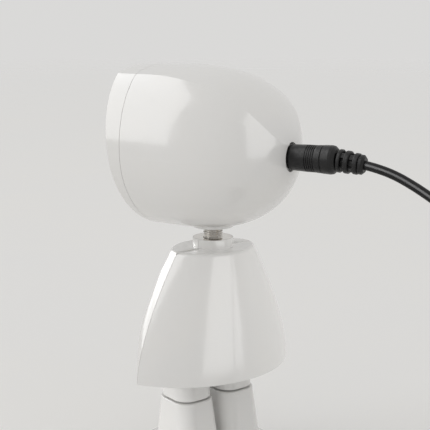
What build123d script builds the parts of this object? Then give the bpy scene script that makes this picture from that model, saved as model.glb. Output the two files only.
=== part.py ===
from build123d import *
import math
import os

# Small desk figure with a lamp head: a round base, two boots, two thighs, a hollow torso
# in two shells, a threaded neck stud and a hollow head that turns on it. A low-voltage
# lead plugs into the back of the head.
#
# Frame: millimetres, +Z up, the figure faces -Y, its own left side is +X. The origin is
# on the floor under the neck axis. The head and the lead are drawn facing -Y, on the
# same axis, and are turned by HEAD_TURN at the end.

# ------------------------------------------------------------------ driving dimensions
HEAD_TURN = 24.0        # how far the head looks to the figure's left, degrees
WALL = 2.0              # wall of every moulded shell
SEAM = 0.16             # gap between two shells that meet edge to edge

# base
BASE_R = 29.0
BASE_Y = -4.0           # the base and the legs sit a little ahead of the neck
BASE_TOP = 5.0
SKIRT_BOTTOM = 0.3      # the cover's skirt stops above the floor, the pad carries
PAD_R = 26.4
PAD_T = 0.8
WEIGHT_T = 2.6

# legs
LEG_X = 10.8
BOOT_BASE = (18.8, 26.4)
BOOT_HEEL = 1.0         # the sole sits this much behind the leg's axis
BOOT_TOP = (17.8, 19.8)
BOOT_BASE_R = 5.4
BOOT_TOP_R = 6.6
BOOT_TOP_Z = 29.4
THIGH = (16.6, 18.6)
THIGH_R = 6.4
THIGH_Z = (29.9, 43.8)
SPIGOT = (11.0, 13.0)
SPIGOT_R = 3.0
SPIGOT_BOTTOM = 20.0
BOLT_R = 2.0
BOLT_TOP = 60.0

# torso
TORSO_Z = (41.8, 91.7)
TORSO_SEAM_Y = 1.0
TORSO_W = (18.5, 38.2)      # half width at the top and at the hem
TORSO_REAR = (14.6, 23.4)   # depth behind the neck axis, top and hem
TORSO_FRONT = (14.6, 20.6)  # depth ahead of the neck axis, top and hem
TORSO_POWER = 1.55          # how quickly the bell opens below the shoulder
TORSO_LEVELS = (0.0, 0.14, 0.3, 0.48, 0.62, 0.74, 0.87, 1.0)
TORSO_FLAT_FROM = 0.55      # below this level the front turns from oval to a plain arc
SHOULDER_R = 1.8
COLLAR_R = 8.1
COLLAR_TOP = 95.4
HIP_PLATE_Z = (43.8, 46.2)
HIP_BLOCK = (38.0, 16.0)
HIP_BLOCK_TOP = 54.0
LUG_X = 24.0
LUG_REAR_Y = 9.8
LUG_FRONT_Y = -8.2

# neck
STUD_R = 4.0
STUD_Z = (79.0, 115.5)
RUNNING_GAP = 0.06          # radial clearance of the turning bush on the stud
NUT_FLATS = 13.0
NECK_WASHER_R = 7.7
NECK_WASHER_T = 0.8
BOSS_BOTTOM = 99.8
BOSS_FLOOR = 106.0
CLIP_T = 1.0
CLIP_R = 6.1
BUSH_BOTTOM = BOSS_BOTTOM + 0.3 + CLIP_T
BUSH_R = 6.6
BUSH_FLANGE_R = 8.8
BUSH_TOP = 107.6

# head
HEAD_Z = 130.0              # level where the bowl is widest
HEAD_Y = -3.5               # and its place along Y
HEAD_HALF_X = 36.5
HEAD_DOWN = 30.2            # from the widest level to the bottom
HEAD_UP = 38.0              # and to the top, which the roof cuts off
HEAD_REAR = 37.7            # from the widest section to the back
HEAD_FRONT = 46.0           # and to its open mouth, which the face cuts off
HEAD_FULLNESS = 0.64        # Bezier handle of the rear, 0.55 is an ellipse, more is squarer
HEAD_MOUTH = 0.90           # how wide the mouth is, as a share of the widest section
HEAD_TAPER = 0.98           # and two thirds of the way to it
ROOF_AXIS_Z = 95.0          # the roof is a barrel around this line, along Y
ROOF = (                    # (y, radius) along it
    (-45.0, 68.4),
    (-15.5, 69.0),
    (-2.5, 68.5),
    (7.0, 67.0),
    (17.0, 63.1),
    (25.5, 56.1),
    (31.5, 46.5),
    (35.5, 33.0),
)
FACE_Y = -25.6              # the face's place at HEAD_Z
FACE_LEAN = 10.0            # the face and the seam lean forward at the top, degrees
SEAM_LEAN = 3.7
HEAD_SEAM_Y = -20.2
FACE_BORDER = 6.0
LIP_T = 1.05                # the lip inside the seam
LIP_LENGTH = 1.8
FRAME_Y = (-16.2, -14.2)    # the plate across the head behind the lip
HEAD_SCREWS = ((25.5, 12.0), (25.5, -13.0), (-25.5, 12.0), (-25.5, -13.0))
POST_R = 3.0
LED_BOARD_R = 20.0
LED_BOARD_T = 1.6
LED_RING_R = 12.0
LED_COUNT = 12

# power socket and plug, both on the line x = 0, z = PLUG_Z of the head
PLUG_Z = 129.8
DRIVER_Y = (-12.0, -10.6)
JACK_Y = (20.5, 32.2)
JACK_R = 4.2
SOCKET_R = 2.85
PLUG_R = 2.75
PIN_R = 1.0
PIN_BORE_R = 1.06
PLUG_NOSE_Y = 32.6
PLUG_END_Y = 52.4
RELIEF_LENGTH = 10.9
RELIEF_DROOP = 6.0          # degrees that the strain relief hangs below the plug's line

# lead
CORD_D = 3.5
COIL_X = 43.5
COIL_Y = 100.0
COIL_MID_R = 20.0
COIL_HALF_W = CORD_D
COIL_LAYERS = 4
TIE_T = 0.8
USB_Z = 4.0

# route of the free stretch, head frame: out of the relief, down, and round to the coil
ROUTE = (
    (0.0, 62.2, 128.8),
    (0.0, 71.0, 127.5),
    (0.0, 84.0, 121.4),
    (3.0, 98.0, 113.6),
    (10.0, 110.5, 101.0),
    (18.0, 119.5, 83.5),
    (23.5, 124.6, 62.5),
    (25.0, 126.8, 40.0),
    (23.6, 126.6, 20.5),
    (22.3, 122.5, 9.1),
    (20.9, 112.7, 1.9),
    (20.0, 100.0, 1.75),
)
# route of the far end, from the top of the coil down to the second plug
TAIL = (
    (20.0, 102.0, 12.25),
    (19.7, 93.5, 12.0),
    (19.8, 84.6, 8.2),
    (20.0, 76.6, 4.6),
    (20.0, 69.0, 4.0),
)
USB_X = 20.0
USB_Y = (36.5, 48.5, 71.0)   # tip, shell's root, back of the moulding


# ------------------------------------------------------------------ helpers
def tube(outer_r, inner_r, z0, z1):
    """A ring on the Z axis from z0 to z1."""
    ring = Cylinder(outer_r, z1 - z0) - Cylinder(inner_r, z1 - z0)
    return Pos(0, 0, (z0 + z1) / 2) * ring


def rod(radius, z0, z1):
    """A plain cylinder on the Z axis from z0 to z1."""
    return Pos(0, 0, (z0 + z1) / 2) * Cylinder(radius, z1 - z0)


def rod_y(radius, y0, y1, x=0.0, z=0.0):
    """A plain cylinder along Y from y0 to y1."""
    return Pos(x, (y0 + y1) / 2, z) * Rot(90, 0, 0) * Cylinder(radius, y1 - y0)


def block(x, y, z):
    """A box from three (low, high) pairs."""
    sizes = [high - low for low, high in (x, y, z)]
    middles = [(low + high) / 2 for low, high in (x, y, z)]
    return Pos(*middles) * Box(*sizes)


def hex_nut(flats, bore_r, z0, z1):
    """A hexagon nut on the Z axis."""
    prism = extrude(RegularPolygon(flats / 2, 6, major_radius=False), z1 - z0)
    return Pos(0, 0, z0) * prism - rod(bore_r, z0 - 1, z1 + 1)


def pan_screw(head_r, head_t, shank_r, length):
    """A screw standing head up: its head sits on z = 0 and its shank goes down."""
    head = Pos(0, 0, head_t / 2) * Cylinder(head_r, head_t)
    head = fillet(head.edges().group_by(Axis.Z)[-1], head_t * 0.4)
    slot = block((-head_r * 0.6, head_r * 0.6), (-0.25, 0.25), (head_t * 0.45, head_t + 1))
    return head + rod(shank_r, -length, 0) - slot


def cord_tube(points, diameter):
    """Straight runs joined by tangent arcs, each as large as its runs allow."""
    spots = [Vector(*p) for p in points]
    runs = [b - a for a, b in zip(spots, spots[1:])]
    radii = []
    for before, after in zip(runs, runs[1:]):
        half_turn = math.radians(before.get_angle(after)) / 2
        radii.append(0.45 * min(before.length, after.length) / math.tan(half_turn))
    print("  arc radii", [round(r, 1) for r in radii])
    path = FilletPolyline(*spots, radius=radii)
    start = Plane(origin=path @ 0, z_dir=path % 0)
    solid = sweep(start * Circle(diameter / 2), path=path)
    print("  volume share", round(solid.volume / (math.pi * diameter**2 / 4 * path.length), 4))
    return solid


def turned(shape):
    """From the head's own frame to the figure's."""
    return Rot(0, 0, HEAD_TURN) * shape


# ------------------------------------------------------------------ base and legs
def leg_places():
    """The two leg axes, left first."""
    return (("left", LEG_X), ("right", -LEG_X))


def make_base():
    cover = Pos(0, 0, SKIRT_BOTTOM) * extrude(Circle(BASE_R), BASE_TOP - SKIRT_BOTTOM)
    cover = fillet(cover.edges().group_by(Axis.Z)[-1], 1.4)
    cover -= rod(PAD_R + 0.1, -1, PAD_T + WEIGHT_T)
    weight = rod(PAD_R, PAD_T, PAD_T + WEIGHT_T)
    for _, x in leg_places():
        cover -= Pos(x, 0, 0) * rod(BOLT_R + 0.1, 0, BASE_TOP + 1)
        weight -= Pos(x, 0, 0) * rod(BOLT_R + 0.1, 0, BASE_TOP + 1)
        weight -= Pos(x, 0, 0) * rod(3.7, 0, PAD_T + 1.8)
    pad = rod(PAD_R, 0, PAD_T)
    return {
        "base_cover": Pos(0, BASE_Y, 0) * cover,
        "base_weight": Pos(0, BASE_Y, 0) * weight,
        "base_pad": Pos(0, BASE_Y, 0) * pad,
    }


def make_boot():
    """One boot on its own axis, open at the top for the thigh's spigot."""
    foot = Pos(0, BOOT_HEEL, 0) * RectangleRounded(*BOOT_BASE, BOOT_BASE_R)
    cuff = Pos(0, 0, BOOT_TOP_Z - BASE_TOP) * RectangleRounded(*BOOT_TOP, BOOT_TOP_R)
    boot = Pos(0, 0, BASE_TOP) * loft([foot, cuff])
    boot = fillet(boot.edges().group_by(Axis.Z)[-1], 0.5)
    pocket_h = BOOT_TOP_Z - SPIGOT_BOTTOM + 0.2
    pocket = extrude(RectangleRounded(SPIGOT[0] + 0.1, SPIGOT[1] + 0.1, SPIGOT_R), pocket_h + 1)
    boot -= Pos(0, 0, SPIGOT_BOTTOM - 0.2) * pocket
    return boot - rod(BOLT_R + 0.1, 0, BOOT_TOP_Z)


def make_thigh():
    """One thigh on its own axis, with the spigot that goes into the boot."""
    low, high = THIGH_Z
    leg = Pos(0, 0, low) * extrude(RectangleRounded(*THIGH, THIGH_R), high - low)
    leg = fillet(leg.edges().group_by(Axis.Z)[0], 0.5)
    leg += Pos(0, 0, SPIGOT_BOTTOM) * extrude(RectangleRounded(*SPIGOT, SPIGOT_R), low - SPIGOT_BOTTOM)
    return leg - rod(BOLT_R + 0.1, 0, high + 1)


def make_legs():
    parts = {}
    bolts, nuts, washers = [], [], []
    bolt = rod(BOLT_R, PAD_T + 1.5, BOLT_TOP) + rod(3.5, PAD_T, PAD_T + 1.7)
    nut_bottom = HIP_BLOCK_TOP + 0.8
    for side, x in leg_places():
        place = Pos(x, BASE_Y, 0)
        parts[f"boot_{side}"] = place * make_boot()
        parts[f"thigh_{side}"] = place * make_thigh()
        bolts.append(place * bolt)
        washers.append(place * tube(4.5, BOLT_R + 0.1, HIP_BLOCK_TOP, nut_bottom))
        nuts.append(place * hex_nut(7.0, BOLT_R, nut_bottom, nut_bottom + 3.2))
    parts["leg_bolts"] = bolts
    parts["leg_nuts"] = nuts
    parts["leg_washers"] = washers
    return parts


# ------------------------------------------------------------------ torso
def torso_size(level, inset):
    """Half width, rear depth and front depth at a level, 0 at the top and 1 at the hem."""
    opening = 1 - (1 - level) ** TORSO_POWER
    return [top + (hem - top) * opening - inset for top, hem in (TORSO_W, TORSO_REAR, TORSO_FRONT)]


def torso_front_curve(level, half, depth, seam):
    """Left to right around the front: an oval that flattens to a circular arc at the hem."""
    fade = max(0.0, (level - TORSO_FLAT_FROM) / (1 - TORSO_FLAT_FROM))
    share = fade * fade * (3 - 2 * fade)
    radius = (half * half + depth * depth) / (2 * depth)
    reach = math.asin(min(1.0, half / radius))
    points = []
    for step in range(9):
        turn = math.pi * step / 8
        swing = reach * math.cos(turn)
        oval = (half * math.cos(turn), -depth * math.sin(turn))
        arc = (radius * math.sin(swing), radius - depth - radius * math.cos(swing))
        points.append([(1 - share) * o + share * a for o, a in zip(oval, arc)])
    return Spline(*[(x, y + seam) for x, y in points])


def torso_form(side, inset, z_low, z_high):
    """The rear or front half of the bell, inset from its outside, between two levels."""
    sections = []
    bottom, top = TORSO_Z
    for step in TORSO_LEVELS:
        z = z_high + (z_low - z_high) * step
        level = min(1.0, max(0.0, (top - z) / (top - bottom)))
        half, rear, front = torso_size(level, inset)
        seam = TORSO_SEAM_Y
        left, right = (half, seam), (-half, seam)
        if side == "rear":
            curve = ThreePointArc(left, (0, rear), right)
        else:
            curve = torso_front_curve(level, half, front + seam, seam)
        sections.append(Pos(0, 0, z) * make_face(curve + Line(left, right)))
    return loft(sections)


def torso_shell(side):
    """One half of the torso with its half of the collar and two lugs for the hip plate."""
    bottom, top = TORSO_Z
    sign = 1 if side == "rear" else -1
    far = 100.0
    keep = (TORSO_SEAM_Y + SEAM / 2, far) if side == "rear" else (-far, TORSO_SEAM_Y - SEAM / 2)
    half_space = block((-far, far), keep, (0, far + top))
    outer = torso_form(side, 0.0, bottom, top)
    rim = outer.edges().filter_by(lambda e: e.center().Z > top - 0.1 and e.geom_type != GeomType.LINE)
    outer = fillet(rim, SHOULDER_R)
    shell = outer - torso_form(side, WALL, bottom - 0.01, top - WALL - 0.6)
    shell += rod(COLLAR_R, top - 1, COLLAR_TOP) & half_space
    shell -= rod(NECK_WASHER_R + 0.05, COLLAR_TOP - NECK_WASHER_T, COLLAR_TOP + 1)
    shell -= rod(STUD_R + 0.1, bottom, COLLAR_TOP + 1)
    lug_y = LUG_REAR_Y if side == "rear" else LUG_FRONT_Y
    for x in (-LUG_X, LUG_X):
        lug = Pos(x, lug_y, 0) * rod(3.2, HIP_PLATE_Z[1], HIP_PLATE_Z[1] + 12)
        web_y = sorted((lug_y, lug_y + sign * 12))
        web = block((x - 1.2, x + 1.2), web_y, (HIP_PLATE_Z[1], HIP_PLATE_Z[1] + 12))
        shell += (lug + web) & outer
        shell -= Pos(x, lug_y, 0) * rod(1.1, HIP_PLATE_Z[1] - 1, HIP_PLATE_Z[1] + 9)
    return shell & half_space


def make_torso():
    parts = {f"torso_{side}_shell": torso_shell(side) for side in ("rear", "front")}
    low, high = HIP_PLATE_Z
    gap = WALL + 0.12
    plate = torso_form("rear", gap, low, high) + torso_form("front", gap, low, high)
    hip = extrude(RectangleRounded(*HIP_BLOCK, 3.0), HIP_BLOCK_TOP - high)
    hip = Pos(0, BASE_Y, high) * hip
    screws = []
    for x in (-LUG_X, LUG_X):
        for y in (LUG_REAR_Y, LUG_FRONT_Y):
            plate -= Pos(x, y, 0) * rod(1.3, low - 1, high + 1)
            screws.append(Pos(x, y, low) * Rot(180, 0, 0) * pan_screw(2.2, 1.4, 1.1, 8.0))
    for _, x in leg_places():
        plate -= Pos(x, BASE_Y, 0) * rod(BOLT_R + 0.1, low - 1, high + 1)
        hip -= Pos(x, BASE_Y, 0) * rod(BOLT_R + 0.1, low, HIP_BLOCK_TOP + 1)
    parts["hip_plate"] = plate
    parts["hip_block"] = hip
    parts["hip_plate_screws"] = screws
    return parts


# ------------------------------------------------------------------ neck
def make_neck():
    low, high = STUD_Z
    stud = chamfer(rod(STUD_R, low, high).edges(), 0.6)
    ceiling = TORSO_Z[1] - WALL - 0.6
    clip = tube(CLIP_R, STUD_R, BUSH_BOTTOM - CLIP_T, BUSH_BOTTOM) - block((-1.2, 1.2), (0, 9), (90, 110))
    spring_top = BUSH_TOP + 1.0
    return {
        "neck_stud": stud,
        "neck_washer": tube(NECK_WASHER_R, STUD_R, COLLAR_TOP - NECK_WASHER_T, COLLAR_TOP),
        "torso_neck_washer": tube(8.5, STUD_R + 0.1, ceiling - 1.2, ceiling),
        "torso_neck_nut": hex_nut(NUT_FLATS, STUD_R, ceiling - 7.2, ceiling - 1.2),
        "neck_clip": clip,
        "head_spring_washer": tube(7.4, STUD_R + 0.1, BUSH_TOP, spring_top),
        "head_neck_nut": hex_nut(NUT_FLATS, STUD_R, spring_top, spring_top + 5.0),
    }


# ------------------------------------------------------------------ head
def bowl_form(inset):
    """The bowl, turned about the fore-and-aft axis, then shallower below than above."""
    half, rear = HEAD_HALF_X - inset, HEAD_REAR - inset
    grip = HEAD_FULLNESS
    back = Bezier((0, half), (grip * rear, half), (rear, grip * half), (rear, 0))
    mouth = (-HEAD_FRONT, half * HEAD_MOUTH)
    front = Bezier((0, half), (-HEAD_FRONT / 3, half), (-HEAD_FRONT * 2 / 3, half * HEAD_TAPER), mouth)
    closing = Polyline(mouth, (-HEAD_FRONT, 0), (rear, 0))
    outline = make_face(back + front + closing)
    upper = revolve(outline, axis=Axis.X, revolution_arc=180)
    lower = revolve(outline, axis=Axis.X, revolution_arc=-180)
    upper = scale(upper, by=(1, 1, (HEAD_UP - inset) / half))
    lower = scale(lower, by=(1, 1, (HEAD_DOWN - inset) / half))
    return Pos(0, HEAD_Y, HEAD_Z) * Rot(0, 0, 90) * (lower + upper)


def roof_form(inset):
    """Everything under the roof."""
    points = [(y, radius - inset) for y, radius in ROOF]
    edge = Spline(*points)
    first, last = points[0], points[-1]
    closing = Polyline(last, (last[0], 0), (first[0], 0), first)
    profile = make_face(edge + closing)
    return Pos(0, 0, ROOF_AXIS_Z) * Rot(0, 0, 90) * revolve(profile, axis=Axis.X)


def leaning_block(y, lean, side):
    """Half space ahead of (side -1) or behind (side 1) a plane that leans forward."""
    half_space = block((-200, 200), sorted((0, side * 300)), (-200, 200))
    return Pos(0, y, HEAD_Z) * Rot(lean, 0, 0) * half_space


def head_form(inset, face_inset=None):
    """The whole head, inset from its outside."""
    face_y = FACE_Y + (inset if face_inset is None else face_inset)
    return bowl_form(inset) & roof_form(inset) & leaning_block(face_y, FACE_LEAN, 1)


def behind(y):
    """Half space behind the seam's plane, moved so that it crosses HEAD_Z at y."""
    return leaning_block(y, SEAM_LEAN, 1)


def ahead(y):
    """Half space ahead of the seam's plane, moved the same way."""
    return leaning_block(y, SEAM_LEAN, -1)


def make_head_shells():
    outer = head_form(0.0)
    inner = head_form(WALL)
    seam_rear, seam_front = HEAD_SEAM_Y + SEAM / 2, HEAD_SEAM_Y - SEAM / 2
    rear = (outer & behind(seam_rear)) - inner
    rear += rod(8.0, BOSS_BOTTOM, BOSS_FLOOR)
    rear += rod(10.0, BOSS_FLOOR - 4.5, BOSS_FLOOR) & outer
    rear -= rod(BUSH_R + 0.05, BUSH_BOTTOM, BOSS_FLOOR + 1)
    rear -= rod(CLIP_R + 0.5, BOSS_BOTTOM - 3, BUSH_BOTTOM)
    rear += rod_y(8.0, 28.5, 60, z=PLUG_Z) & outer
    rear -= rod_y(JACK_R + 0.05, 20, 60, z=PLUG_Z)
    rear -= rod_y(5.7, 31.6, 60, z=PLUG_Z)
    post_start = FRAME_Y[1]
    for x, z in HEAD_SCREWS:
        rear += rod_y(POST_R, post_start, 60, x, HEAD_Z + z) & outer
        rear -= rod_y(1.1, post_start - 1, post_start + 9, x, HEAD_Z + z)
    cover = (outer & ahead(seam_front)) - inner
    window = head_form(FACE_BORDER, face_inset=-5.0) & ahead(HEAD_SEAM_Y)
    cover -= window
    lip_inside = head_form(WALL + 0.15 + LIP_T, face_inset=-5.0)
    root = (head_form(WALL - 0.3) - lip_inside) & behind(HEAD_SEAM_Y - 1.0) & ahead(seam_front)
    lip = (head_form(WALL + 0.15) - lip_inside) & behind(HEAD_SEAM_Y - 1.0) & ahead(HEAD_SEAM_Y + LIP_LENGTH)
    cover += root + lip
    bush = rod(BUSH_R, BUSH_BOTTOM, BOSS_FLOOR) + rod(BUSH_FLANGE_R, BOSS_FLOOR, BUSH_TOP)
    bush -= rod(STUD_R + RUNNING_GAP, BUSH_BOTTOM - 1, BUSH_TOP + 1)
    return {"head_rear_shell": rear, "head_front_cover": cover, "neck_bush": bush}


def make_frame():
    """The flat plate across the head and its four screws."""
    plate = head_form(WALL + 0.4) & block((-100, 100), FRAME_Y, (0, 200))
    plate -= rod_y(6.0, -40, 0, z=HEAD_Z)
    screws = []
    for x, z in HEAD_SCREWS:
        plate -= rod_y(1.3, -40, 0, x, HEAD_Z + z)
        place = Pos(x, FRAME_Y[0], HEAD_Z + z) * Rot(90, 0, 0)
        screws.append(place * pan_screw(2.4, 1.3, 1.1, 8.0))
    return plate, screws


def make_head_inside():
    parts = {}
    plate, parts["head_frame_screws"] = make_frame()
    board_z = HEAD_Z - 1
    board_front = FRAME_Y[0] - LED_BOARD_T
    board = rod_y(LED_BOARD_R, board_front, FRAME_Y[0], z=board_z) - rod_y(2.5, -40, 0, z=board_z)
    board_screws = []
    for angle in (90, 210, 330):
        x = 17.0 * math.cos(math.radians(angle))
        z = board_z + 17.0 * math.sin(math.radians(angle))
        board -= rod_y(1.1, -40, 0, x, z)
        plate -= rod_y(0.9, -40, 0, x, z)
        board_screws.append(Pos(x, board_front, z) * Rot(90, 0, 0) * pan_screw(1.9, 1.1, 0.9, 3.4))
    chips = []
    for index in range(LED_COUNT):
        angle = 2 * math.pi * (index + 0.5) / LED_COUNT
        x, z = LED_RING_R * math.cos(angle), board_z + LED_RING_R * math.sin(angle)
        chips.append(Pos(x, board_front - 0.4, z) * Box(2.8, 0.8, 2.8))
    window = head_form(FACE_BORDER + 0.15, face_inset=1.0)
    flange = head_form(WALL + 0.3, face_inset=WALL + 0.05)
    diffuser = window - head_form(FACE_BORDER + 0.15, face_inset=WALL + 0.05)
    diffuser += flange - head_form(WALL + 0.3, face_inset=WALL + 1.25)
    diffuser &= ahead(HEAD_SEAM_Y - 1.1)
    parts["head_frame"] = plate
    parts["led_board"] = board
    parts["led_board_screws"] = board_screws
    parts["led_chips"] = chips
    parts["face_diffuser"] = diffuser
    return parts


# ------------------------------------------------------------------ power socket
def make_jack():
    """The socket in the back of the head, with its pin, its nut and two wires."""
    inner_end, outer_end = JACK_Y
    body = rod_y(JACK_R, inner_end, outer_end, z=PLUG_Z)
    body += block((-4.8, 4.8), (inner_end - 4.0, inner_end + 4.5), (PLUG_Z - 5.4, PLUG_Z + 5.4))
    body -= rod_y(SOCKET_R, inner_end + 1.0, outer_end + 1, z=PLUG_Z)
    pin = rod_y(PIN_R, inner_end - 5.5, outer_end - 1.8, z=PLUG_Z)
    body -= rod_y(PIN_R, inner_end - 6, inner_end + 2, z=PLUG_Z)
    nut = rod_y(7.0, 26.3, 28.5, z=PLUG_Z) - rod_y(JACK_R, 26, 30, z=PLUG_Z)
    wires = []
    for x in (-2.6, 2.6):
        points = (
            (x, inner_end - 4.0, PLUG_Z - 2.0),
            (x * 1.2, inner_end - 9.0, PLUG_Z - 2.6),
            (x * 2.0, inner_end - 18.0, PLUG_Z + 2.0),
            (x * 1.8, inner_end - 26.0, PLUG_Z + 5.2),
            (x * 1.5, DRIVER_Y[1], PLUG_Z + 6.0),
        )
        wires.append(cord_tube(points, 1.2))
    return {"dc_jack": body, "jack_pin": pin, "jack_nut": nut, "jack_wires": wires}


def make_driver():
    """The small board that feeds the light board, on two spacers behind the frame."""
    low, high = DRIVER_Y
    board = block((-13.0, 13.0), (low, high), (PLUG_Z - 7.0, PLUG_Z + 11.0))
    spacers = []
    for x in (-10.5, 10.5):
        spacers.append(rod_y(2.2, FRAME_Y[1], low, x, PLUG_Z + 8.5))
    chips = [
        block((-9.0, -4.0), (high, high + 1.6), (PLUG_Z - 5.0, PLUG_Z)),
        block((0.0, 4.0), (high, high + 3.0), (PLUG_Z - 5.5, PLUG_Z - 1.5)),
        block((7.0, 9.0), (high, high + 1.2), (PLUG_Z - 4.0, PLUG_Z + 1.0)),
    ]
    return {"driver_board": board, "driver_spacers": spacers, "driver_chips": chips}


# ------------------------------------------------------------------ lead
def plug_profile():
    """Half outline of the moulded plug as (radius, y) corners, nose first."""
    groove, land, depth = 0.34, 0.48, 0.32
    start = PLUG_NOSE_Y
    points = [(PLUG_R - 0.4, start), (3.6, start), (4.5, start + 0.7), (4.95, start + 1.9)]
    y = start + 8.2
    for _ in range(5):
        points += [(5.15, y), (5.15 - depth, y), (5.15 - depth, y + groove), (5.15, y + groove)]
        y += groove + land
    points += [(5.25, y + 0.2), (5.3, y + 1.9), (5.1, y + 2.1), (5.4, y + 2.4)]
    points += [(5.5, PLUG_END_Y - 2.2), (5.3, PLUG_END_Y - 1.2), (4.2, PLUG_END_Y), (0.0, PLUG_END_Y)]
    points += [(0.0, start + 3.0), (PLUG_R - 0.4, start + 3.0)]
    return points


def make_plug():
    outline = make_face(Polyline(*plug_profile(), close=True))
    body = Pos(0, 0, PLUG_Z) * revolve(outline, axis=Axis.Y)
    tip = PLUG_NOSE_Y - 10.6
    sleeve = rod_y(PLUG_R, tip, PLUG_NOSE_Y, z=PLUG_Z)
    sleeve += rod_y(PLUG_R - 0.4, PLUG_NOSE_Y, PLUG_NOSE_Y + 3, z=PLUG_Z)
    sleeve -= rod_y(PLUG_R - 0.7, tip - 1, PLUG_NOSE_Y + 4, z=PLUG_Z)
    core = rod_y(PLUG_R - 0.7, tip + 0.3, PLUG_NOSE_Y + 3, z=PLUG_Z)
    core -= rod_y(PIN_BORE_R, tip - 1, PLUG_NOSE_Y + 1.0, z=PLUG_Z)
    return {"plug_sleeve": sleeve, "plug_core": core, "plug_body": body}


def make_relief():
    """Three ribs on a slim core, with windows between them, sagging with the cord."""
    ribs = ((0.5, 1.5, 4.4), (3.2, 2.0, 4.3), (6.7, 1.9, 4.0))
    relief = rod_y(2.75, 0.0, RELIEF_LENGTH)
    for start, thick, radius in ribs:
        relief += fillet(rod_y(radius, start, start + thick).edges().filter_by(GeomType.CIRCLE), 0.45)
    collar = rod_y(3.7, RELIEF_LENGTH - 1.9, RELIEF_LENGTH)
    relief += chamfer(collar.edges().group_by(Axis.Y)[-1], 0.9)
    for rib, after in zip(ribs, ribs[1:] + ((RELIEF_LENGTH - 1.9, 0, 0),)):
        gap = (rib[0] + rib[1] - 0.2, after[0] + 0.2)
        for angle in (45, 135, 225, 315):
            bridge = block((-1.1, 1.1), gap, (2.0, after[2] - 0.5 if after[2] else 3.3))
            relief += Rot(0, angle, 0) * bridge
    return Pos(0, PLUG_END_Y, PLUG_Z) * Rot(-RELIEF_DROOP, 0, 0) * relief


def make_cord():
    free = cord_tube(ROUTE, CORD_D)
    tail = cord_tube(TAIL, CORD_D)
    height = COIL_LAYERS * CORD_D
    ring = Rectangle(2 * COIL_HALF_W + CORD_D, height)
    ring = fillet(ring.vertices(), 1.6)
    ring = Plane.XZ * Pos(COIL_MID_R, height / 2) * ring
    coil = revolve(ring, axis=Axis.Z)
    tie_w = 9.0
    half = COIL_HALF_W + CORD_D / 2
    near, far = COIL_MID_R - half, COIL_MID_R + half
    tie_outer = block((near - TIE_T, far + TIE_T), (-tie_w / 2, tie_w / 2), (0, height + TIE_T))
    tie_inner = block((near, far), (-tie_w, tie_w), (TIE_T, height))
    tie = fillet(tie_outer.edges().filter_by(Axis.Y), 1.2) - tie_inner
    coil -= block((0, 40), (-tie_w / 2, tie_w / 2), (-1, TIE_T))
    place = Pos(COIL_X, COIL_Y, 0)
    return {
        "power_cord": free,
        "cord_tail": tail,
        "cord_coil": place * coil,
        "cord_tie": place * tie,
    }


def make_usb_plug():
    """The plug on the far end, lying flat beside the coil."""
    tip, root, back = USB_Y
    middle = USB_X
    body = block((middle - 7.8, middle + 7.8), (root, back - 4.0), (0.0, 2 * USB_Z))
    body = fillet(body.edges().filter_by(Axis.Y), 2.2)
    body = fillet(body.edges().group_by(Axis.Y)[-1], 1.2)
    neck = rod_y(2.9, back - 4.5, back, middle, USB_Z)
    body += chamfer(neck.edges().group_by(Axis.Y)[-1], 0.6)
    body -= rod_y(CORD_D / 2, back - 2.0, back + 1, middle, USB_Z)
    half_w, half_h, sheet = 6.0, 2.25, 0.3
    sides = (middle - half_w, middle + half_w), (USB_Z - half_h, USB_Z + half_h)
    inside = [(low + sheet, high - sheet) for low, high in sides]
    shell = block(sides[0], (tip, root + 4.0), sides[1])
    shell -= block(inside[0], (tip - 1, root + 5.0), inside[1])
    tongue_z = (USB_Z + 0.1, USB_Z + half_h - sheet)
    tongue = block((middle - 5.5, middle + 5.5), (tip + 0.6, root + 4.0), tongue_z)
    body -= block(sides[0], (root - 1, root + 4.0), sides[1])
    return {"usb_plug_body": body, "usb_plug_shell": shell, "usb_plug_tongue": tongue}


def main():
    parts = {}
    parts.update(make_base())
    parts.update(make_legs())
    parts.update(make_torso())
    parts.update(make_neck())
    head = {}
    head.update(make_head_shells())
    head.update(make_head_inside())
    head.update(make_jack())
    head.update(make_driver())
    head.update(make_plug())
    head["plug_relief"] = make_relief()
    head.update(make_cord())
    head.update(make_usb_plug())
    for name, shape in head.items():
        pieces = shape if isinstance(shape, list) else [shape]
        parts[name] = [turned(piece) for piece in pieces]
    os.makedirs("parts", exist_ok=True)
    for name, shape in parts.items():
        if isinstance(shape, list):
            shape = Compound(children=[solid for piece in shape for solid in piece.solids()])
        export_step(shape, f"parts/{name}.step")
        print(name, round(shape.volume, 1), len(shape.solids()))


main()
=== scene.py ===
import math

import bmesh
import bpy
from mathutils import Matrix, Vector


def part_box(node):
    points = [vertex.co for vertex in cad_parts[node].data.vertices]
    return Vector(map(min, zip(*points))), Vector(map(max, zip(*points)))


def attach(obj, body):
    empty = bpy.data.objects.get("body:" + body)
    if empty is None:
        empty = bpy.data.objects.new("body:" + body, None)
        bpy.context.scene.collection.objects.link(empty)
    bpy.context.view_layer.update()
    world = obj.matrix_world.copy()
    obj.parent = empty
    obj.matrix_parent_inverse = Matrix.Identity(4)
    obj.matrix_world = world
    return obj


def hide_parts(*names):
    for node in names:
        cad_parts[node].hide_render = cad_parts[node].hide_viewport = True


# A small desk figure with a lamp head and a plugged-in lead, on a pale floor. The scene is in metres.

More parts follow.
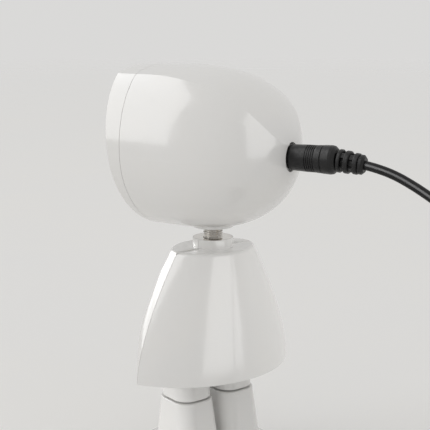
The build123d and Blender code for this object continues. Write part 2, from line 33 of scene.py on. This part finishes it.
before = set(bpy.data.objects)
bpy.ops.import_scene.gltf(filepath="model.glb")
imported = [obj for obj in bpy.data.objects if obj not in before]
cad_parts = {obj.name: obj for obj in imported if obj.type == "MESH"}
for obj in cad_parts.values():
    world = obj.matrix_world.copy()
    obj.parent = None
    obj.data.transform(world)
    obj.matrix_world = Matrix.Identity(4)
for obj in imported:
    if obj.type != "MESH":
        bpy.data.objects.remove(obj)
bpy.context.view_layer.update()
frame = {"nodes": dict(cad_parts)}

# ------------------------------------------------------------------ driving values
MM = 0.001
HEAD_TURN = math.radians(24.0)      # the head and the lead are turned this far from the torso

# the lead, in millimetres in the head's own frame: its free stretch and its far end as in the CAD source
CORD_DIAMETER = 3.5
ROUTE = (
    (0.0, 62.2, 128.8),
    (0.0, 71.0, 127.5),
    (0.0, 84.0, 121.4),
    (3.0, 98.0, 113.6),
    (10.0, 110.5, 101.0),
    (18.0, 119.5, 83.5),
    (23.5, 124.6, 62.5),
    (25.0, 126.8, 40.0),
    (23.6, 126.6, 20.5),
    (22.3, 122.5, 9.1),
    (20.9, 112.7, 1.9),
)
TAIL = (
    (19.7, 93.5, 12.0),
    (19.8, 84.6, 8.2),
    (20.0, 76.6, 4.6),
    (20.0, 69.0, 4.0),
)
COIL_CENTRE = (43.5, 100.0)
COIL_OUTER_RADIUS = 23.5            # both radii are to the middle of the cord
COIL_INNER_RADIUS = 16.5
COIL_LAYERS = 4
TURNS_PER_LAYER = 2
POINTS_PER_TURN = 16

# the hook-and-loop tie around the coil, in millimetres
TIE_THICKNESS = 0.8
TIE_WIDTH = 9.0
TIE_SLACK = 0.2                     # between the tie and the turns
TIE_CORNER = 0.32                   # the smaller it is, the squarer the loop
TIE_STEPS = 88                      # around the loop
TIE_ACROSS = (-0.5, -0.46, -0.2, 0.0, 0.2, 0.46, 0.5)   # shares of its width
TIE_BODY = 0.9                      # share of the thickness that the strap's flat part fills
TIE_EDGE = 0.54                     # and its outer edges

# the neck stud's rolled thread
THREAD_RADIUS = 4.0 * MM
THREAD_DEPTH = 0.46 * MM
THREAD_PITCH = 0.9 * MM
THREAD_STEPS = 64                   # around the stud
ROWS_PER_PITCH = 8
FLANK_SLOPE = 1.25                  # a flank's share of the depth over its share of half a pitch
CREST_FLAT = 0.12                   # taken off that share, which leaves a flat crest
STUD_CHAMFER = 0.6 * MM

# finishes
NOISE_MIDDLE = (0.3, 0.7)           # most of a noise's values lie between these
WARM_TINT = (1.0, 0.995, 0.985)
TOOL_LINES = (1, 1, 14)             # stretches a noise into lines around an upright axis

# the camera, at the angle of the reference picture
CAMERA_RIGHT = Vector((-0.788, 0.616, 0.0)).normalized()
CAMERA_TOWARD = Vector((0.616, 0.788, 0.0)).normalized()    # from the figure to the camera
CAMERA_PITCH = math.radians(11.3)
CAMERA_DISTANCE = 0.4
AIM_HEIGHT = 0.1042
AIM_SHIFT = 0.0008                  # to the camera's right
LENS = 83.721                       # millimetres, as the sensor's width is
SENSOR = 36.0

# studio
HEAD_MIDDLE = Vector((0.0, 0.0, 0.13))
FLOOR_RADIUS = 8.0
FLOOR_FADE = (0.6, 4.0)             # the floor melts into the room between these distances
FLOOR_COLOR = (0.9, 0.898, 0.892)
ROOM_COLOR = (1.0, 0.993, 0.98, 1)
HORIZON_LIGHT = 0.70
ZENITH_LIGHT = 0.78
HORIZON_TOP = 0.1                   # how far up the horizon's light reaches, 1 being straight up
LIGHT_DISTANCE = 2.2
FILL_SIZE = 1.2


# ------------------------------------------------------------------ helpers
def turned(point):
    """A point of the head's own frame in millimetres, as a place in the scene."""
    return Matrix.Rotation(HEAD_TURN, 3, "Z") @ (Vector(point) * MM)


def skin(bm, rings):
    """Faces from each ring of vertices to the next."""
    count = len(rings[0])
    for ring, after in zip(rings, rings[1:]):
        for k in range(count):
            bm.faces.new((ring[k], ring[(k + 1) % count], after[(k + 1) % count], after[k]))


def mesh_piece(name, bm, smooth=True):
    """A bmesh as a linked object."""
    bmesh.ops.recalc_face_normals(bm, faces=bm.faces)
    mesh = bpy.data.meshes.new(name)
    bm.to_mesh(mesh)
    bm.free()
    for polygon in mesh.polygons:
        polygon.use_smooth = smooth
    piece = bpy.data.objects.new(name, mesh)
    bpy.context.scene.collection.objects.link(piece)
    return piece


# ------------------------------------------------------------------ materials
class Finish:
    """A small builder around one Principled material and its nodes."""

    def __init__(self, name, color, roughness, metallic=0.0):
        self.material = bpy.data.materials.new(name)
        self.material.use_nodes = True
        self.nodes = self.material.node_tree.nodes
        self.links = self.material.node_tree.links
        self.shader = self.nodes["Principled BSDF"]
        self.color = color
        self.roughness = roughness
        self.put("Metallic", metallic)
        self.coordinates = self.nodes.new("ShaderNodeTexCoord").outputs["Object"]

    def put(self, socket, value):
        self.shader.inputs[socket].default_value = value

    def mapped(self, scale=(1, 1, 1), turn=(0, 0, 0)):
        node = self.nodes.new("ShaderNodeMapping")
        node.inputs["Scale"].default_value = scale
        node.inputs["Rotation"].default_value = turn
        self.links.new(self.coordinates, node.inputs["Vector"])
        return node.outputs["Vector"]

    def noise(self, scale, detail, stretch=(1, 1, 1)):
        node = self.nodes.new("ShaderNodeTexNoise")
        node.inputs["Scale"].default_value = scale
        node.inputs["Detail"].default_value = detail
        self.links.new(self.mapped(stretch), node.inputs["Vector"])
        return node.outputs["Fac"]

    def cells(self, scale):
        node = self.nodes.new("ShaderNodeTexVoronoi")
        node.inputs["Scale"].default_value = scale
        self.links.new(self.coordinates, node.inputs["Vector"])
        return node.outputs["Distance"]

    def waves(self, scale, turn, distortion):
        node = self.nodes.new("ShaderNodeTexWave")
        node.bands_direction = "X"
        node.inputs["Scale"].default_value = scale
        node.inputs["Distortion"].default_value = distortion
        self.links.new(self.mapped(turn=turn), node.inputs["Vector"])
        return node.outputs["Fac"]

    def spread(self, source, low, high, reach=NOISE_MIDDLE):
        """A factor whose values across the reach are stretched to run from low to high."""
        node = self.nodes.new("ShaderNodeMapRange")
        node.inputs["From Min"].default_value = reach[0]
        node.inputs["From Max"].default_value = reach[1]
        node.inputs["To Min"].default_value = low
        node.inputs["To Max"].default_value = high
        self.links.new(source, node.inputs["Value"])
        return node.outputs["Result"]

    def vary_color(self, source, share):
        """Mottles the colour, from a little darker to slightly lighter and warmer."""
        ramp = self.nodes.new("ShaderNodeValToRGB")
        dark = [channel * (1 - share) for channel in self.color]
        light = [min(1.0, channel * tint * (1 + share / 3)) for channel, tint in zip(self.color, WARM_TINT)]
        for stop, position, color in zip(ramp.color_ramp.elements, NOISE_MIDDLE, (dark, light)):
            stop.position = position
            stop.color = (*color, 1)
        self.links.new(source, ramp.inputs["Fac"])
        self.links.new(ramp.outputs["Color"], self.shader.inputs["Base Color"])

    def vary_roughness(self, source, reach):
        ranged = self.spread(source, self.roughness - reach, self.roughness + reach)
        self.links.new(ranged, self.shader.inputs["Roughness"])

    def bump(self, source, height):
        """Adds relief; height is in metres."""
        node = self.nodes.new("ShaderNodeBump")
        node.inputs["Strength"].default_value = 1.0
        node.inputs["Distance"].default_value = height
        self.links.new(source, node.inputs["Height"])
        self.links.new(node.outputs["Normal"], self.shader.inputs["Normal"])


def gloss_plastic(name, color, roughness):
    """Moulded glossy plastic: faint flow marks, orange peel and a little handling haze."""
    finish = Finish(name, color, roughness)
    finish.put("Coat Weight", 0.35)
    finish.put("Coat Roughness", 0.06)
    finish.vary_color(finish.noise(45, detail=3), 0.015)
    finish.vary_roughness(finish.noise(160, detail=6), 0.05)
    finish.bump(finish.noise(420, detail=2), 0.004 * MM)
    return finish.material


def satin_plastic(name, color, roughness, grain=0.02 * MM):
    """Spark-eroded moulding texture, unevenly polished."""
    finish = Finish(name, color, roughness)
    finish.put("Specular IOR Level", 0.35)
    finish.vary_color(finish.noise(260, detail=5), 0.22)
    finish.vary_roughness(finish.noise(900, detail=4), 0.09)
    finish.bump(finish.noise(3600, detail=3), grain)
    return finish.material


def rubber(name, color, roughness):
    """Matt rubber with a fine pebble and mottled dust."""
    finish = Finish(name, color, roughness)
    finish.vary_color(finish.noise(120, detail=8), 0.3)
    finish.vary_roughness(finish.noise(700, detail=4), 0.08)
    finish.bump(finish.cells(1800), 0.03 * MM)
    return finish.material


def turned_metal(name, color, roughness, stretch=TOOL_LINES):
    """Machined metal: fine tool lines around the axis, with a soft stain."""
    finish = Finish(name, color, roughness, metallic=1.0)
    finish.vary_color(finish.noise(300, detail=6), 0.12)
    finish.vary_roughness(finish.noise(700, detail=5, stretch=stretch), 0.08)
    finish.bump(finish.noise(2400, detail=3, stretch=stretch), 0.004 * MM)
    return finish.material


def circuit_board(name, color):
    """Solder mask with a faint pattern of copper tracks under it."""
    finish = Finish(name, color, roughness=0.38)
    tracks = finish.waves(330, turn=(0, 0, -HEAD_TURN), distortion=6.0)
    finish.vary_color(tracks, 0.16)
    finish.vary_roughness(finish.noise(500, detail=4), 0.06)
    finish.bump(tracks, 0.03 * MM)
    return finish.material


def opal(name, color):
    """Opal diffuser: light enters it and comes back soft."""
    finish = Finish(name, color, roughness=0.42)
    finish.put("Subsurface Weight", 0.35)
    finish.put("Subsurface Radius", (0.004, 0.004, 0.0038))
    finish.put("Subsurface Scale", 0.5)
    finish.vary_color(finish.noise(70, detail=3), 0.02)
    finish.vary_roughness(finish.noise(800, detail=5), 0.05)
    finish.bump(finish.noise(2600, detail=3), 0.01 * MM)
    return finish.material


def cord_jacket(name, color, roughness):
    """Glossy vinyl jacket with a fine grain and smudges."""
    finish = Finish(name, color, roughness)
    finish.put("Specular IOR Level", 0.25)
    finish.vary_color(finish.noise(180, detail=6), 0.2)
    finish.vary_roughness(finish.noise(500, detail=5), 0.1)
    finish.bump(finish.noise(1100, detail=3), 0.015 * MM)
    return finish.material


def woven_strap(name, color):
    """Looped fabric of a hook-and-loop tie."""
    finish = Finish(name, color, roughness=0.88)
    finish.put("Sheen Weight", 0.4)
    finish.put("Sheen Roughness", 0.5)
    finish.vary_color(finish.noise(1500, detail=6), 0.35)
    finish.vary_roughness(finish.noise(900, detail=4), 0.06)
    finish.bump(finish.cells(2600), 0.12 * MM)
    return finish.material


MATERIALS = {
    "white_shell": gloss_plastic("glossy_white", (0.815, 0.81, 0.8), roughness=0.2),
    "base_rubber": rubber("base_pad_rubber", (0.05, 0.05, 0.052), roughness=0.8),
    "base_steel": turned_metal("pressed_steel", (0.48, 0.48, 0.49), roughness=0.45, stretch=(1, 1, 1)),
    "zinc_steel": turned_metal("zinc_plate", (0.62, 0.63, 0.64), roughness=0.3),
    "bright_steel": turned_metal("polished_steel", (0.68, 0.66, 0.63), roughness=0.14),
    "bush_brass": turned_metal("brass", (0.72, 0.53, 0.27), roughness=0.28),
    "frame_plastic": satin_plastic("frame_white", (0.66, 0.66, 0.65), roughness=0.5),
    "board_white": circuit_board("light_board", (0.78, 0.78, 0.76)),
    "board_green": circuit_board("driver_board", (0.03, 0.19, 0.09)),
    "led_yellow": opal("led_phosphor", (0.86, 0.69, 0.16)),
    "diffuser_opal": opal("opal_face", (0.84, 0.84, 0.82)),
    "wire_red": cord_jacket("wire_red", (0.55, 0.03, 0.03), roughness=0.35),
    "plug_black": satin_plastic("plug_black", (0.009, 0.009, 0.0095), roughness=0.36, grain=0.012 * MM),
    "plug_nickel": turned_metal("plug_nickel", (0.72, 0.71, 0.68), roughness=0.18),
    "cord_black": cord_jacket("cord_black", (0.008, 0.008, 0.0085), roughness=0.27),
    "tie_black": woven_strap("tie_black", (0.02, 0.02, 0.021)),
    "tongue_white": satin_plastic("tongue_white", (0.72, 0.72, 0.7), roughness=0.45),
}

# which CAD nodes take each finish; a node that isn't listed is white shell
NODE_FINISH = {
    "base_rubber": ("base_pad",),
    "base_steel": ("base_weight",),
    "zinc_steel": (
        "leg_bolts", "leg_nuts", "leg_washers", "hip_plate_screws", "torso_neck_washer", "torso_neck_nut",
        "head_neck_nut", "head_spring_washer", "head_frame_screws", "led_board_screws", "neck_clip",
    ),
    "bright_steel": ("neck_stud", "neck_washer"),
    "bush_brass": ("neck_bush",),
    "frame_plastic": ("hip_plate", "hip_block", "head_frame", "driver_spacers"),
    "board_white": ("led_board",),
    "board_green": ("driver_board",),
    "led_yellow": ("led_chips",),
    "diffuser_opal": ("face_diffuser",),
    "wire_red": ("jack_wires",),
    "plug_black": (
        "plug_core", "plug_body", "plug_relief", "usb_plug_body", "dc_jack", "driver_chips",
    ),
    "plug_nickel": ("plug_sleeve", "jack_pin", "jack_nut", "usb_plug_shell"),
    "cord_black": ("power_cord", "cord_tail", "cord_coil"),
    "tie_black": ("cord_tie",),
    "tongue_white": ("usb_plug_tongue",),
}


def paint_nodes():
    """Gives every CAD node its finish."""
    finish_of = {node: slot for slot, nodes in NODE_FINISH.items() for node in nodes}
    for name, node in frame["nodes"].items():
        node.data.materials.clear()
        node.data.materials.append(MATERIALS[finish_of.get(name, "white_shell")])


def dress(piece, slot, body):
    """Gives a new piece its finish and the body it moves with."""
    piece.data.materials.append(MATERIALS[slot])
    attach(piece, body)


# ------------------------------------------------------------------ the lead
def coil_points():
    """The wound length, layer by layer, winding in and out as it climbs."""
    points = []
    steps = TURNS_PER_LAYER * POINTS_PER_TURN
    for step in range(COIL_LAYERS * steps + 1):
        layer, within = divmod(step, steps)
        share = within / steps
        inward = 1 - share if layer % 2 else share
        # each layer climbs onto the last one within its first half turn
        ease = min(1.0, within / (POINTS_PER_TURN / 2))
        climb = 3 * ease**2 - 2 * ease**3
        level = layer - 1 + climb if layer else 0.0
        radius = COIL_OUTER_RADIUS - (COIL_OUTER_RADIUS - COIL_INNER_RADIUS) * inward
        angle = math.pi + 2 * math.pi * step / POINTS_PER_TURN
        points.append((
            COIL_CENTRE[0] + radius * math.cos(angle),
            COIL_CENTRE[1] + radius * math.sin(angle),
            CORD_DIAMETER * (0.5 + level),
        ))
    return points


def make_cord():
    """One open spline from the strain relief to the second plug."""
    points = [turned(point) for point in (*ROUTE, *coil_points(), *TAIL)]
    curve = bpy.data.curves.new("lead_cord", "CURVE")
    curve.dimensions = "3D"
    curve.bevel_depth = CORD_DIAMETER * MM / 2
    curve.bevel_resolution = 6
    curve.resolution_u = 8
    curve.use_fill_caps = True
    spline = curve.splines.new("NURBS")
    spline.points.add(len(points) - 1)
    for control, point in zip(spline.points, points):
        control.co = (*point, 1.0)
    spline.order_u = 3
    spline.use_endpoint_u = True
    cord = bpy.data.objects.new("lead_cord", curve)
    bpy.context.scene.collection.objects.link(cord)
    dress(cord, "cord_black", "lead")
    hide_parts("power_cord", "cord_coil", "cord_tail")
    return cord


def squared(wave):
    """A sine or cosine pushed out toward 1 or -1, which squares the loop it draws."""
    return math.copysign(abs(wave) ** TIE_CORNER, wave)


def make_tie():
    """A closed strap around the coil's cross section, bowed with the coil."""
    low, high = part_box("cord_coil")
    half_height = (high.z - low.z) / MM / 2
    # under the strap a layer's two turns lie a quarter of the coil's breadth in from its sides
    turns_half = (COIL_OUTER_RADIUS - COIL_INNER_RADIUS) / 4 + CORD_DIAMETER / 2
    half_width = turns_half + TIE_SLACK + TIE_THICKNESS / 2
    mean_radius = (COIL_OUTER_RADIUS + COIL_INNER_RADIUS) / 2
    bm = bmesh.new()
    rings = []
    for step in range(TIE_STEPS):
        angle = 2 * math.pi * step / TIE_STEPS
        ring = []
        for side, places in ((1, TIE_ACROSS), (-1, TIE_ACROSS[::-1])):
            for place in places:
                fullness = TIE_EDGE if abs(place) == TIE_ACROSS[-1] else TIE_BODY
                offset = side * TIE_THICKNESS / 2 * fullness
                along = place * TIE_WIDTH
                bow = along**2 / (2 * mean_radius)
                x = COIL_CENTRE[0] + mean_radius - bow + squared(math.cos(angle)) * (half_width + offset)
                y = COIL_CENTRE[1] + along
                z = half_height + TIE_THICKNESS / 2 + squared(math.sin(angle)) * (half_height + offset)
                ring.append(bm.verts.new(turned((x, y, z))))
        rings.append(ring)
    skin(bm, rings + rings[:1])
    tie = mesh_piece("coil_strap", bm)
    dress(tie, "tie_black", "lead")
    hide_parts("cord_tie")


# ------------------------------------------------------------------ the neck stud
def make_stud():
    """A rolled thread on the stud, its ends chamfered."""
    low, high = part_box("neck_stud")
    length = high.z - low.z
    rows = round(length / THREAD_PITCH * ROWS_PER_PITCH)
    bm = bmesh.new()
    rings = []
    for row in range(rows + 1):
        z = low.z + length * row / rows
        from_end = min(z - low.z, high.z - z)
        ring = []
        for step in range(THREAD_STEPS):
            angle = 2 * math.pi * step / THREAD_STEPS
            phase = (z / THREAD_PITCH - step / THREAD_STEPS) % 1.0
            from_crest = abs(2 * phase - 1)
            depth = THREAD_DEPTH * min(1.0, max(0.0, FLANK_SLOPE * from_crest - CREST_FLAT))
            radius = min(THREAD_RADIUS - depth, THREAD_RADIUS - STUD_CHAMFER + from_end)
            ring.append(bm.verts.new((radius * math.cos(angle), radius * math.sin(angle), z)))
        rings.append(ring)
    skin(bm, rings)
    bm.faces.new(rings[0])
    bm.faces.new(rings[-1])
    stud = mesh_piece("threaded_stud", bm)
    dress(stud, "bright_steel", "figure")
    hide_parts("neck_stud")


# ------------------------------------------------------------------ room, light, camera
def as_seen(right, toward, up):
    """A direction given as right, toward the camera and up, in the scene."""
    return CAMERA_RIGHT * right + CAMERA_TOWARD * toward + Vector((0, 0, up))


def face(thing, direction):
    thing.rotation_euler = direction.to_track_quat("-Z", "Y").to_euler()


def area_lamp(name, place, direction, seen_in):
    """An area light that the camera doesn't see. It reaches only the pieces in seen_in, if any are given."""
    lamp = bpy.data.objects.new(name, bpy.data.lights.new(name, "AREA"))
    bpy.context.scene.collection.objects.link(lamp)
    lamp.location = place
    face(lamp, direction)
    lamp.visible_camera = False
    if seen_in:
        receivers = bpy.data.collections.new(name + "_receivers")
        for piece in seen_in:
            receivers.objects.link(piece)
        lamp.light_linking.receiver_collection = receivers
    return lamp


def reflected_card(name, centre, size, radiance, distance=LIGHT_DISTANCE, facing=None, seen_in=()):
    """A softbox that only gloss shows. Centre is (right, toward, up) from the head's middle and size is
    (width, height), both as shares of the distance. It faces level along the camera's right-hand axis,
    unless facing gives another direction."""
    facing = facing or (-centre[0], 0, 0)
    place = HEAD_MIDDLE + as_seen(*centre) * distance
    lamp = area_lamp(name, place, as_seen(*facing), seen_in)
    light = lamp.data
    light.shape = "RECTANGLE"
    light.size = size[0] * distance
    light.size_y = size[1] * distance
    light.energy = radiance * math.pi * light.size * light.size_y
    lamp.visible_diffuse = False


def matt_fill(name, side, power, seen_in=()):
    """A broad weak light from the side given as (right, toward, up), which only matt shading shows."""
    place = HEAD_MIDDLE + as_seen(*side) * LIGHT_DISTANCE
    lamp = area_lamp(name, place, HEAD_MIDDLE - place, seen_in)
    lamp.data.size = FILL_SIZE
    lamp.data.energy = power
    lamp.visible_glossy = False


def make_floor():
    """A pale floor without gloss, which turns clear with distance and leaves the room to be seen."""
    bm = bmesh.new()
    bmesh.ops.create_circle(bm, cap_ends=True, segments=96, radius=FLOOR_RADIUS)
    floor = mesh_piece("floor", bm, smooth=False)
    finish = Finish("floor_card", FLOOR_COLOR, roughness=0.95)
    finish.put("Specular IOR Level", 0.0)
    finish.vary_color(finish.noise(6, detail=4), 0.008)
    finish.vary_roughness(finish.noise(60, detail=4), 0.04)
    reach = finish.nodes.new("ShaderNodeVectorMath")
    reach.operation = "LENGTH"
    clear = finish.nodes.new("ShaderNodeBsdfTransparent")
    blend = finish.nodes.new("ShaderNodeMixShader")
    finish.links.new(finish.coordinates, reach.inputs[0])
    faded = finish.spread(reach.outputs["Value"], 0.0, 1.0, FLOOR_FADE)
    finish.links.new(faded, blend.inputs["Fac"])
    finish.links.new(finish.shader.outputs["BSDF"], blend.inputs[1])
    finish.links.new(clear.outputs["BSDF"], blend.inputs[2])
    finish.links.new(blend.outputs["Shader"], finish.nodes["Material Output"].inputs["Surface"])
    floor.data.materials.append(finish.material)


def make_world():
    """An even room, a little brighter overhead than at the horizon."""
    world = bpy.data.worlds.new("studio")
    world.use_nodes = True
    nodes, links = world.node_tree.nodes, world.node_tree.links
    direction = nodes.new("ShaderNodeTexCoord")
    split = nodes.new("ShaderNodeSeparateXYZ")
    level = nodes.new("ShaderNodeMapRange")
    level.inputs["From Min"].default_value = HORIZON_TOP
    level.inputs["From Max"].default_value = 1.0
    level.inputs["To Min"].default_value = HORIZON_LIGHT
    level.inputs["To Max"].default_value = ZENITH_LIGHT
    background = nodes["Background"]
    background.inputs["Color"].default_value = ROOM_COLOR
    links.new(direction.outputs["Generated"], split.inputs["Vector"])
    links.new(split.outputs["Z"], level.inputs["Value"])
    links.new(level.outputs["Result"], background.inputs["Strength"])
    bpy.context.scene.world = world


def make_camera():
    """The camera, behind the figure on its left, a little higher than its head and aimed down at it."""
    data = bpy.data.cameras.new("camera")
    data.sensor_width = SENSOR
    data.lens = LENS
    data.clip_start = 0.01
    data.clip_end = 50
    camera = bpy.data.objects.new("camera", data)
    bpy.context.scene.collection.objects.link(camera)
    target = Vector((0.0, 0.0, AIM_HEIGHT)) + CAMERA_RIGHT * AIM_SHIFT
    back = CAMERA_TOWARD * math.cos(CAMERA_PITCH) + Vector((0, 0, math.sin(CAMERA_PITCH)))
    camera.location = target + back * CAMERA_DISTANCE
    face(camera, -back)
    bpy.context.scene.camera = camera


def make_studio(cord):
    """Floor, room and lights. Some lights reach only the pieces whose highlights they make."""
    make_floor()
    make_world()
    nodes = frame["nodes"]
    head = [nodes[name] for name in ("head_rear_shell", "head_front_cover", "face_diffuser")]
    torso_front = [nodes["torso_front_shell"]]
    torso = [nodes["torso_rear_shell"], *torso_front]
    legs = [nodes[name] for name in ("boot_left", "boot_right", "thigh_left", "thigh_right")]
    reflected_card("left_softbox", centre=(-1.0, -0.4, 1.3), size=(2.4, 2.24), radiance=2.4)
    reflected_card("right_card", centre=(1.0, 0.38, 0.4), size=(1.0, 1.06), radiance=1.7, seen_in=head)
    reflected_card(
        "torso_card", centre=(0.67, 0.74, 0.08), size=(0.87, 1.2), radiance=1.9,
        distance=0.25, facing=(-0.67, -0.74, 0), seen_in=torso,
    )
    reflected_card(
        "front_strip", centre=(-1.0, -0.9, 0.35), size=(2.4, 1.1), radiance=2.0,
        distance=0.6, seen_in=torso_front,
    )
    reflected_card(
        "cord_card", centre=(-0.58, 0.68, 0.42), size=(1.1, 0.8), radiance=8.0,
        facing=(0.58, -0.68, -0.42), seen_in=[cord],
    )
    matt_fill("left_fill", (-1.0, 0.3, 0.45), power=6.0)
    matt_fill("right_fill", (1.0, -0.1, 0.15), power=8.0, seen_in=torso)
    matt_fill("leg_fill", (-1.0, 0.45, 0.1), power=15.0, seen_in=legs)


# ------------------------------------------------------------------ the scene
paint_nodes()
cord = make_cord()
make_tie()
make_stud()
make_camera()
make_studio(cord)
bpy.context.scene.view_settings.view_transform = "Standard"
